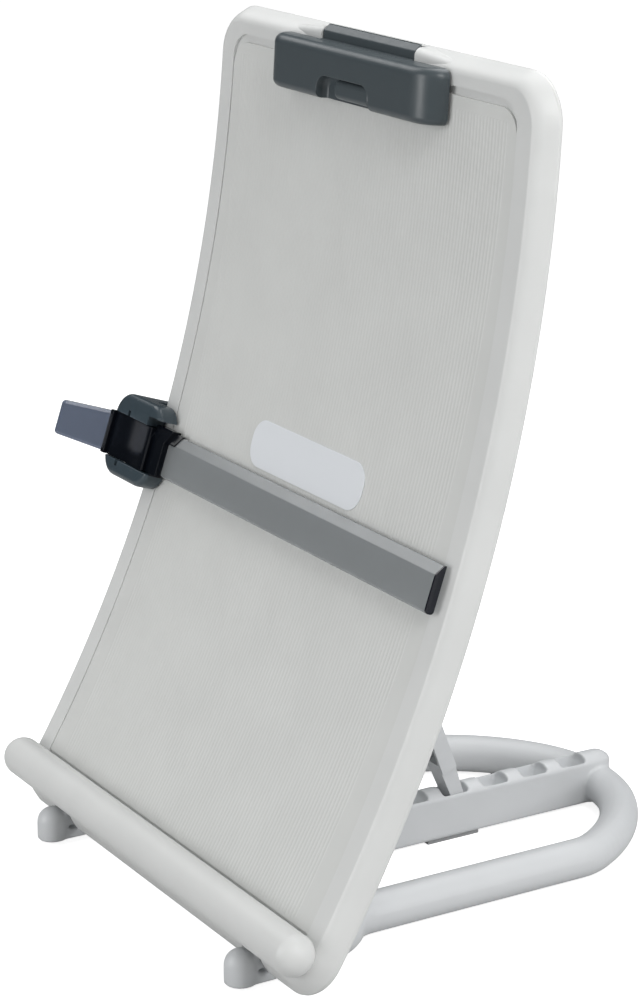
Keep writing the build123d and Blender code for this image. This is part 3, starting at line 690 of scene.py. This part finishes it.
@dataclass
class Board:
    """Curved board: shell with its soft rim, ribbed sheet, ledge and bare plate."""

    shop: Workshop
    run: float = 359.8
    half_foot: float = 126.6
    half_top: float = 120.9
    depth: float = 8.2
    edge_inset: float = 0.35
    foot_corner: float = 17.0
    top_corner: float = 20.0
    strip: float = 7.4
    corner_steps: int = 14
    skin: float = 0.4
    rim: tuple[tuple[float, float], ...] = (
        (0.8, 1.6), (0.8, 1.6), (0.75, 1.3), (0.6, 0.85), (0.7, 0.8), (0.8, 0.7), (0.8, 0.5), (0.8, 0.33),
        (0.6, 0.12))
    sheet_border: float = 15.9
    sheet_foot: float = 22.5
    seat_foot: float = 19.0
    sheet_top: float = 345.0
    seat_top: float = 348.4
    seat_gap: float = 0.15
    seat_reach: float = 4.0
    sheet_corner: float = 11.0
    sheet_sink: float = 0.25
    sheet_thickness: float = 1.0
    sheet_edge: float = 0.35
    rib_pitch: float = 2.1
    rib_height: float = 0.11
    rib_half: float = 0.62
    rib_side: float = 0.18
    rib_root: float = 0.3
    rib_steps: tuple[float, ...] = (0.5, 0.35, 0.15)
    rib_margin: float = 5.0
    rib_foot_margin: float = 1.0
    ledge_radius: float = 8.6
    ledge_half: float = 124.8
    ledge_run: float = 14.3
    ledge_proud: float = 6.5
    tab_half: float = 35.3
    tab_floor: float = 351.1
    tab_depth: float = 6.7
    shoulder: float = 3.2
    cheek_width: float = 26.0
    cheek_overlap: float = 0.7
    cheek_root: tuple[float, float] = (3.0, 0.5)
    cheek_inset: float = 0.6
    cheek_proud: float = 0.1
    cheek_fall: Place = (0.0, -2.4, -1.6)
    ear_side: float = 82.0
    slot_half: float = 7.5
    slot_run: float = 9.0
    slot_depth: float = 20.0
    past: float = 9.0
    plate_box: Box = ((-43.5, -10.0, -0.2), (43.5, 10.0, 0.1))
    plate_run: float = 185.0
    plate_corner: float = 8.5
    plate_crown: tuple[tuple[float, float], ...] = ((0.1, 0.06), (0.15, 0.04))
    plate_strips: tuple[float, ...] = (-5.0, 0.0, 5.0)

    def half(self, run: float) -> float:
        """Half of the board's width at an arc length."""
        return self.half_foot + (self.half_top - self.half_foot) * run / self.run

    def panel(self, name: str, inset: float, low: Sequence[float], high: Sequence[float],
              foot: float, top: float) -> Workpiece:
        """Flat slab with the board's tapering sides and rounded corners.

        Args:
            name: Name of the piece.
            inset: How far its sides lie inside the board's.
            low: Lowest arc length and depth.
            high: Highest arc length and depth.
            foot: Radius of its lower corners, or 0.
            top: Radius of its upper corners.

        Returns:
            The slab.
        """
        wide = self.half(low[0]) - inset
        slab = Workpiece.block(name, (-wide, low[0], low[1]), (wide, high[0], high[1]))
        taper = (self.half(high[0]) - inset) / wide
        slab.resize(lambda point: point.co.y > high[0] - 1, (taper, 1, 1))
        for radius, test in ((foot, lambda edge: edge.verts[0].co.y < low[0] + 1),
                             (top, lambda edge: edge.verts[0].co.y > high[0] - 1)):
            if radius:
                slab.bevel(lambda edge, near=test: upright(edge) and near(edge), radius, self.corner_steps)
        return slab

    def strips(self) -> list[float]:
        """Arc lengths at which a piece is cut so that it can bend."""
        count = int(self.run / self.strip)
        return [self.run * number / count for number in range(1, count)]

    def shell(self) -> None:
        """Moulded front with a soft rim, the sheet's seat, the tab's pocket and the hinge slots."""
        edge = self.edge_inset
        high = (self.run - edge, self.skin - self.depth)
        shell = self.panel("board_front", edge, (edge, -self.depth), high, self.foot_corner, self.top_corner)
        shell.inset(facing(2), self.rim)
        bed = -self.sheet_sink - self.sheet_thickness
        seat = self.panel("seat", self.sheet_border - self.seat_gap, (self.seat_foot, bed),
                          (self.seat_top, self.seat_reach), 0, self.sheet_corner)
        pocket = Workpiece.block("pocket", (-self.tab_half, self.tab_floor, -self.tab_depth),
                                 (self.tab_half, self.run + self.past, self.past))
        slots = [Workpiece.block("slot", (side - self.slot_half, -self.past, -self.slot_depth),
                                 (side + self.slot_half, self.slot_run, self.past))
                 for side in (-self.ear_side, self.ear_side)]
        shell.cut(seat, pocket, *slots)
        shell.add(self.cheek(-1), self.cheek(1))
        shell.slices(1, self.strips())
        ARC.bend(shell)
        self.shop.hand_over(shell, "board", "board_plastic", "board_shell")

    def cheek(self, side: int) -> Workpiece:
        """Full shoulder beside the clip's tab, which holds one end of the clip's pin.

        Args:
            side: -1 for the left one, 1 for the right one.

        Returns:
            The shoulder.
        """
        near, far = side * (self.tab_half - self.cheek_overlap), side * (self.tab_half + self.cheek_width)
        below, behind = self.cheek_root
        cheek = Workpiece.block("cheek", (min(near, far), self.tab_floor - below, -self.tab_depth - behind),
                                (max(near, far), self.run - self.cheek_inset, self.cheek_proud))
        cheek.bevel(lambda edge: rim_of(2)(edge) and min(point.co.y for point in edge.verts) > self.run - 1,
                    self.shoulder, 8)
        return cheek.shift(lambda point: abs(point.co.x - far) < NEAR and point.co.y > self.tab_floor + 1,
                           self.cheek_fall)

    def sheet(self) -> None:
        """Ribbed sheet let into the shell, its fine ribs stopping short of its edge."""
        top = -self.sheet_sink
        sheet = self.panel("ribbed_panel", self.sheet_border, (self.sheet_foot, top - self.sheet_thickness),
                           (self.sheet_top, top), 0, self.sheet_corner)
        sheet.bevel(rim_of(2), self.sheet_edge, 2)
        half = self.half(self.run) - self.sheet_border - self.rib_margin
        count = int(2 * half / self.rib_pitch)
        left = -self.rib_pitch * (count - 1) / 2
        low, high = self.sheet_foot + self.rib_foot_margin, self.sheet_top - self.rib_margin
        rib = Workpiece.block("rib", (left - self.rib_half, low, top - self.rib_root),
                              (left + self.rib_half, high, top))
        rib.inset(facing(2), [(self.rib_side, share * self.rib_height) for share in self.rib_steps])
        rib.repeat(count, (self.rib_pitch, 0, 0))
        sheet.add(rib)
        sheet.slices(1, self.strips())
        ARC.bend(sheet)
        self.shop.hand_over(sheet, "board", "ribbed_plastic", "ribbed_sheet")

    def ledge(self) -> None:
        """Round ledge with ball ends."""
        radius, half = self.ledge_radius, self.ledge_half
        ledge = Workpiece.ball("page_ledge", radius)
        for side in (-1, 1):
            ledge.shift(lambda point, way=side: way * point.co.x > NEAR, (side * (half - radius), 0, 0))
        ledge.moved((0, 0, self.ledge_proud))
        ARC.put(ledge, self.ledge_run)
        self.shop.hand_over(ledge, "board", "board_plastic", "ledge_bar", angle=60)

    def plate(self) -> None:
        """Bare plate with round ends, softly crowned at its edge."""
        plate = Workpiece.block("bare_plate", *self.plate_box).bevel(upright, self.plate_corner, 12)
        plate.inset(facing(2), self.plate_crown)
        plate.slices(1, self.plate_strips)
        plate.moved((0, self.plate_run, 0))
        ARC.bend(plate)
        self.shop.hand_over(plate, "board", "plate_plastic", "label_plate")

    def build(self) -> None:
        """Makes the board's pieces."""
        self.shell()
        self.sheet()
        self.ledge()
        self.plate()


@dataclass
class Clip:
    """Sprung page clip with its finger scoop and press tab; its boxes are laid out from the jaw's middle."""

    shop: Workshop
    middle: float = 343.35
    half: float = 10.85
    half_width: float = 61.0
    gap: float = 0.8
    proud: float = 11.0
    end_shape: float = 0.68
    end_round: float = 8.6
    top_round: float = 3.8
    foot_round: float = 3.0
    scoop_box: Box = ((-19.5, -19.85, 5.8), (19.5, -1.35, 14.0))
    scoop_corner: float = 6.0
    scoop_round: float = 2.6
    lip_round: float = 0.5
    tongue_box: Box = ((-8.5, -9.65, 5.0), (18.4, -1.85, 9.7))
    tongue_corner: float = 2.8
    tongue_round: float = 2.2
    tab_box: Box = ((-34.2, 8.55, -3.4), (34.2, 16.85, -0.2))
    crest: float = 2.6
    tab_round: float = 0.55
    neck_box: Box = ((-34.2, 8.35, -2.8), (34.2, 11.05, 3.0))
    neck_round: float = 0.4

    def build(self) -> None:
        """Makes the jaw and its tab as one moulding."""
        wide = self.half_width * self.end_shape
        jaw = Workpiece.block("page_clip", (-wide, -self.half, self.gap), (wide, self.half, self.proud))
        jaw.bevel(lambda edge: self.at_front(edge) and abs(edge.verts[0].co.x - edge.verts[1].co.x) < NEAR,
                  self.end_round, 14)
        jaw.resize(lambda point: True, (1 / self.end_shape, 1, 1))
        jaw.bevel(lambda edge: rim_of(1)(edge) and not self.at_back(edge), self.top_round, 7)
        jaw.bevel(lambda edge: rim_of(1, -1.0)(edge) and not self.at_back(edge), self.foot_round, 6)
        jaw.cut(self.scoop())
        jaw.bevel(self.scoop_lip, self.lip_round, 2)
        jaw.add(self.tongue(), self.tab())
        ARC.put(jaw, self.middle)
        self.shop.hand_over(jaw, "clip", "clip_plastic", "clip_jaw")

    def at_front(self, edge: bmesh.types.BMEdge) -> bool:
        """Whether an edge lies in the jaw's front."""
        return all(point.co.z > self.proud - TOUCHING for point in edge.verts)

    def at_back(self, edge: bmesh.types.BMEdge) -> bool:
        """Whether an edge lies in the jaw's back."""
        return all(point.co.z < self.gap + TOUCHING for point in edge.verts)

    def scoop(self) -> Workpiece:
        """Cutter with round ends for the finger scoop in the jaw's lower edge."""
        scoop = Workpiece.block("scoop", *self.scoop_box)
        scoop.bevel(lambda edge: upright(edge) and edge.verts[0].co.y > -self.half, self.scoop_corner, 8)
        return scoop.bevel(rim_of(2, -1.0), self.scoop_round, 5)

    def scoop_lip(self, edge: bmesh.types.BMEdge) -> bool:
        """Whether an edge lies where the scoop leaves the jaw's front."""
        fronts = sum(face.normal.z > FULLY_ALONG for face in edge.link_faces)
        reach = self.scoop_box[1][0] + NEAR
        inside = all(abs(point.co.x) < reach and point.co.y < 2 for point in edge.verts)
        return inside and fronts == 1 and self.at_front(edge)

    def tongue(self) -> Workpiece:
        """Rounded rest in the scoop that the fingertip pushes on."""
        tongue = Workpiece.block("tongue", *self.tongue_box).bevel(upright, self.tongue_corner, 6)
        return tongue.bevel(rim_of(2), self.tongue_round, 6)

    def tab(self) -> Workpiece:
        """Press tab and barrel in the board's top edge."""
        tab = Workpiece.block("tab", *self.tab_box).bevel(self.tab_crest, self.crest, 1)
        tab.bevel(sharp, self.tab_round, 3)
        return tab.add(Workpiece.block("neck", *self.neck_box).bevel(sharp, self.neck_round, 2))

    def tab_crest(self, edge: bmesh.types.BMEdge) -> bool:
        """Whether an edge is the tab's upper front one."""
        top, front = self.tab_box[1][1:]
        return all(point.co.y > top - NEAR and point.co.z > front - NEAR for point in edge.verts)


@dataclass(frozen=True)
class Wedge:
    """Block whose front slopes back towards its upper edge, in millimetres."""

    low: Place
    high: Place
    crease: float
    drop: float

    def shape(self, name: str) -> Workpiece:
        """Makes the block, its upper front edge lowered by the drop from the crease on."""
        top, front = self.high[1:]
        piece = Workpiece.block(name, self.low, self.high).slices(1, [self.crease])
        return piece.shift(lambda point: point.co.y > top - NEAR and point.co.z > front - NEAR,
                           (0, 0, -self.drop))


@dataclass
class Guide:
    """Line guide: housing on the board's left edge, rocker, lever, socket, bar and cap.

    The housing's rooms are for the board, for the window on it and beside it, and for the socket.
    """

    shop: Workshop
    run: float = 164.5
    box: Box = ((-144.0, -19.2, -11.5), (-103.0, 17.8, 9.6))
    corner: float = 10.2
    front_round: float = 2.4
    rooms: tuple[Box, ...] = (
        ((-125.1, -60.0, -16.5), (40.0, 60.0, 0.7)), ((-125.2, -12.0, 2.4), (0.0, 8.0, 30.0)),
        ((-153.0, -12.0, -1.2), (-125.1, 8.0, 30.0)), ((-114.0, -12.0, 0.0), (0.0, 12.0, 30.0)))
    window_round: float = 0.45
    window_angle: float = 0.3
    window_foot: float = 1.7
    pin_rooms: tuple[Box, ...] = (
        ((-132.0, -14.6, 3.6), (-130.0, -12.0, 30.0)), ((-132.0, 8.0, 3.6), (-130.0, 10.6, 30.0)))
    rocker_box: Box = ((-143.8, -11.85, 2.9), (-110.4, 7.85, 8.6))
    dish_start: float = -142.4
    dish_pitch: float = 2.0
    dish_cuts: int = 16
    dish_depth: float = 1.2
    dish_curve: float = 1.3
    ridge_box: Box = ((-146.0, -11.85, 3.4), (-143.0, 7.85, 10.4))
    black_round: float = 0.5
    lever_side: tuple[float, float] = (-144.0, -158.5)
    lever_proud: tuple[float, float] = (8.6, 28.4)
    lever_half: float = 9.3
    lever_tip_half: float = 7.7
    lever_thickness: float = 3.4
    lever_run: float = -2.0
    lever_corner: float = 1.5
    lever_rims: tuple[float, float] = (1.3, 0.4)
    socket_shape: Wedge = Wedge((-112.4, -11.6, 0.9), (-98.0, 9.6, 8.4), 3.6, 3.2)
    socket_step: Box = ((-110.0, -20.0, 6.9), (-104.4, 20.0, 30.0))
    socket_round: float = 0.4
    claw_shape: Wedge = Wedge((-99.0, 3.9, 1.5), (-92.5, 8.9, 6.5), 4.4, 3.3)
    claw_tip: float = 0.6
    claw_round: float = 0.15
    bar_shape: Wedge = Wedge((-104.0, -11.0, 1.7), (111.4, 8.3, 5.7), 4.3, 3.0)
    cap_shape: Wedge = Wedge((111.4, -11.0, 1.7), (112.2, 8.3, 5.7), 4.3, 3.0)
    bar_foot_round: float = 1.4
    bar_round: float = 0.3

    def housing(self) -> None:
        """Housing with two lobes either side of the rocker's window."""
        block = Workpiece.block("guide_housing", *self.box).bevel(upright, self.corner, 12)
        block.bevel(rim_of(2), self.front_round, 6)
        block.cut(*[Workpiece.block("room", *box) for box in self.rooms])
        block.bevel(self.mouth, self.window_round, 3)
        block.cut(*[Workpiece.block("pin_room", *box) for box in self.pin_rooms])
        ARC.put(block, self.run)
        self.shop.hand_over(block, "carriage", "carriage_plastic", "carriage_front")

    def mouth(self, edge: bmesh.types.BMEdge) -> bool:
        """Whether an edge lies where the window leaves the housing's outside."""
        walls = sum(self.wall(face) for face in edge.link_faces)
        ahead = all(point.co.z > self.window_foot for point in edge.verts)
        return walls == 1 and ahead and edge.calc_face_angle_signed(0) > self.window_angle

    def wall(self, face: bmesh.types.BMFace) -> bool:
        """Whether a face is a wall of the window and not an end of the housing."""
        run = face.calc_center_median().y
        return abs(face.normal.y) > FULLY_ALONG and self.box[0][1] + 1 < run < self.box[1][1] - 1

    def rocker(self) -> None:
        """Black rocker with a dished thumb face and a ridge before the lever."""
        rocker = Workpiece.block("rocker", *self.rocker_box)
        places = [self.dish_start + self.dish_pitch * number for number in range(self.dish_cuts)]
        rocker.slices(0, places)
        for place in places[1:-1]:
            share = (place - places[0]) / (places[-1] - places[0])
            depth = self.dish_depth * math.sin(math.pi * share) ** self.dish_curve
            rocker.shift(lambda point, x=place: abs(point.co.x - x) < NEAR and point.co.z > 5, (0, 0, -depth))
        rocker.bevel(sharp, self.black_round, 3)
        rocker.add(Workpiece.block("ridge", *self.ridge_box).bevel(sharp, self.black_round, 3))
        ARC.put(rocker, self.run)
        self.shop.hand_over(rocker, "rocker", "rocker_plastic", "rocker_block")

    def lever(self) -> None:
        """See-through finger lever with rounded corners and polished rims."""
        (root, tip), (foot, top) = self.lever_side, self.lever_proud
        rise, reach = top - foot, root - tip
        low = (-math.hypot(rise, reach), -self.lever_half, -self.lever_thickness)
        lever = Workpiece.block("finger_lever", low, (0, self.lever_half, 0))
        lever.resize(lambda point: point.co.x < -1, (1, self.lever_tip_half / self.lever_half, 1))
        lever.bevel(lambda edge: upright(edge) and edge.verts[0].co.x < -1, self.lever_corner, 5)
        lever.bevel(rim_of(2), self.lever_rims[0], 1)
        lever.bevel(rim_of(2, -1.0), self.lever_rims[1], 2)
        lever.turned(math.degrees(math.atan2(rise, reach)), "Y")
        lever.moved((root, self.lever_run, foot))
        ARC.put(lever, self.run)
        self.shop.hand_over(lever, "rocker", "lever_clear", "guide_lever")

    def socket(self) -> None:
        """Socket between the rocker and the bar, with a claw over the bar's upper edge."""
        socket = self.socket_shape.shape("bar_socket")
        socket.cut(Workpiece.block("step", *self.socket_step))
        socket.bevel(sharp, self.socket_round, 3)
        claw = self.claw_shape.shape("claw")
        claw.resize(lambda point: point.co.x > -93 and point.co.y > 5, (1, 1, self.claw_tip))
        claw.bevel(sharp, self.claw_round, 2)
        socket.add(claw)
        ARC.put(socket, self.run)
        self.shop.hand_over(socket, "rocker", "rocker_plastic", "bar_holder")

    def bar(self) -> None:
        """See-through bar and its dark end cap, their lower edges rounded."""
        bar = self.bar_shape.shape("line_bar").bevel(self.lengthwise_foot, self.bar_foot_round, 5)
        bar.bevel(self.lengthwise, self.bar_round, 2)
        ARC.put(bar, self.run)
        self.shop.hand_over(bar, "rocker", "bar_clear", "guide_bar", angle=28)
        cap = self.cap_shape.shape("bar_cap").bevel(self.lengthwise_foot, self.bar_foot_round, 5)
        ARC.put(cap, self.run)
        self.shop.hand_over(cap, "rocker", "cap_plastic", "bar_end_cap")

    def lengthwise(self, edge: bmesh.types.BMEdge) -> bool:
        """Whether an edge runs along the bar and is sharp."""
        first, second = edge.verts
        return abs(first.co.y - second.co.y) + abs(first.co.z - second.co.z) < TOUCHING and sharp(edge)

    def lengthwise_foot(self, edge: bmesh.types.BMEdge) -> bool:
        """Whether an edge runs along the bar's lower corners."""
        return self.lengthwise(edge) and edge.verts[0].co.y < -9

    def build(self) -> None:
        """Makes the guide's pieces."""
        self.housing()
        self.rocker()
        self.lever()
        self.socket()
        self.bar()


@dataclass
class Base:
    """Tube loop and ratchet rail as one soft moulding."""

    shop: Workshop
    voxel: float = 0.0008
    softness: float = 0.5
    rounds: int = 2

    def build(self) -> None:
        """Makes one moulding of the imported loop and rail, its notches and creases softened."""
        base = Workpiece.moulding("desk_base", ("base_loop", "ratchet_rail"))
        base.modify("REMESH", mode="VOXEL", voxel_size=self.voxel, adaptivity=0.0)
        base.modify("SMOOTH", factor=self.softness, iterations=self.rounds)
        self.shop.hand_over(base, "base", "base_plastic", "base_loop", "ratchet_rail", angle=60)


@dataclass(frozen=True)
class Lamp:
    """Soft rectangular lamp that points at the middle of the holder, in metres and watts."""

    name: str
    place: Place
    size: tuple[float, float]
    power: float
    aim: Place = (0.0, -0.05, 0.15)

    def hang(self) -> None:
        """Puts the lamp in the scene."""
        data = bpy.data.lights.new(self.name, "AREA")
        data.shape = "RECTANGLE"
        data.size, data.size_y = self.size
        data.energy = self.power
        lamp = bpy.data.objects.new(self.name, data)
        lamp.location = self.place
        beam = Vector(self.aim) - Vector(self.place)
        lamp.rotation_euler = beam.to_track_quat("-Z", "Y").to_euler()
        bpy.context.scene.collection.objects.link(lamp)


LAMPS = (
    Lamp("key", (0.9, -0.1, 1.0), (0.6, 0.6), 5.6),
    Lamp("side", (1.3, 0.35, 0.5), (0.5, 0.5), 5.0),
    Lamp("top", (-0.08, 0.2, 0.8), (0.5, 0.45), 2.3),
    Lamp("front", (-0.25, -1.35, 0.45), (0.42, 0.9), 6.7),
    Lamp("left", (-0.9, -0.2, 1.05), (0.6, 0.6), 2.6),
)


@dataclass
class Studio:
    """Floor, world, lamps and camera."""

    floor_size: float = 6.0
    floor_color: Color = srgb(200, 200, 200)
    floor_glow: float = 0.85
    floor_roughness: float = 0.9
    floor_shine: float = 0.1
    camera_place: Place = (0.998857, -0.66737, 0.51942)
    camera_turn: Place = (72.993, 0.0, 58.858)
    camera_lens: float = 107.46
    sensor: float = 36.0
    sky_side: Place = (0.6, -0.15, 0.78)
    sky: tuple[float, float] = (0.05, 0.52)
    sky_span: tuple[float, float] = (-0.35, 0.95)
    sky_low: Color = (0.88, 0.95, 1.0)
    sky_high: Color = (1.0, 0.995, 0.98)

    def build(self) -> None:
        """Makes the stage, the light and the camera."""
        self.floor()
        self.world()
        for lamp in LAMPS:
            lamp.hang()
        self.camera()

    def floor(self) -> None:
        """Pale floor that shows as plain white and keeps the object's shadow."""
        bpy.ops.object.select_all(action="DESELECT")
        bpy.ops.mesh.primitive_plane_add(size=self.floor_size, location=(0, 0, 0))
        plane = bpy.context.active_object
        plane.name = "studio_floor"
        board = NodeBoard("studio_floor")
        seen = board.add("ShaderNodeLightPath").outputs["Is Camera Ray"]
        glow = board.ramp(seen, 0, self.floor_glow, 0, 1)
        board.surface({"Base Color": (*self.floor_color, 1), "Roughness": self.floor_roughness,
                       "Specular IOR Level": self.floor_shine, "Emission Color": (1, 1, 1, 1),
                       "Emission Strength": glow})
        plane.data.materials.append(board.material)

    def world(self) -> None:
        """Sky that is brighter to the right and above, and white where it shows as the background."""
        world = bpy.data.worlds.new("studio_world")
        bpy.context.scene.world = world
        world.use_nodes = True
        board = NodeBoard.of_tree(world.node_tree, "ShaderNodeOutputWorld", "Generated")
        along = board.add("ShaderNodeVectorMath", operation="DOT_PRODUCT")
        board.tree.links.new(board.place, along.inputs[0])
        along.inputs[1].default_value = self.sky_side
        side = along.outputs["Value"]
        strength = board.ramp(side, *self.sky, *self.sky_span)
        cool = board.tint(board.ramp(side, 0, 1, *self.sky_span), self.sky_low, self.sky_high)
        lit = board.add("ShaderNodeBackground", {"Color": cool, "Strength": strength})
        white = board.add("ShaderNodeBackground", {"Color": (1, 1, 1, 1)})
        path = board.add("ShaderNodeLightPath").outputs
        seen = board.add("ShaderNodeMath", {0: path["Is Camera Ray"], 1: path["Is Transmission Ray"]},
                         operation="MAXIMUM")
        mix = board.add("ShaderNodeMixShader", {"Fac": seen.outputs[0], 1: lit.outputs[0],
                                                2: white.outputs[0]})
        board.tree.links.new(mix.outputs[0], board.output.inputs["Surface"])

    def camera(self) -> None:
        """Camera at the photograph's viewing angle."""
        data = bpy.data.cameras.new("photo_camera")
        data.lens = self.camera_lens
        data.sensor_width = self.sensor
        camera = bpy.data.objects.new("photo_camera", data)
        camera.location = self.camera_place
        camera.rotation_euler = [math.radians(angle) for angle in self.camera_turn]
        bpy.context.scene.collection.objects.link(camera)
        bpy.context.scene.camera = camera


def main() -> None:
    """Builds and dresses the document holder."""
    logging.basicConfig(level=logging.INFO, format="%(message)s")
    materials = {slot: finish.material() for slot, finish in FINISHES.items()}
    CarriedNodes(materials).dress()
    shop = Workshop(materials)
    for assembly in (Base(shop), Board(shop), Clip(shop), Guide(shop)):
        LOG.info("%s", type(assembly).__name__)
        assembly.build()
    Studio().build()
    bpy.context.scene.view_settings.view_transform = "Standard"


if __name__ == "__main__":
    main()
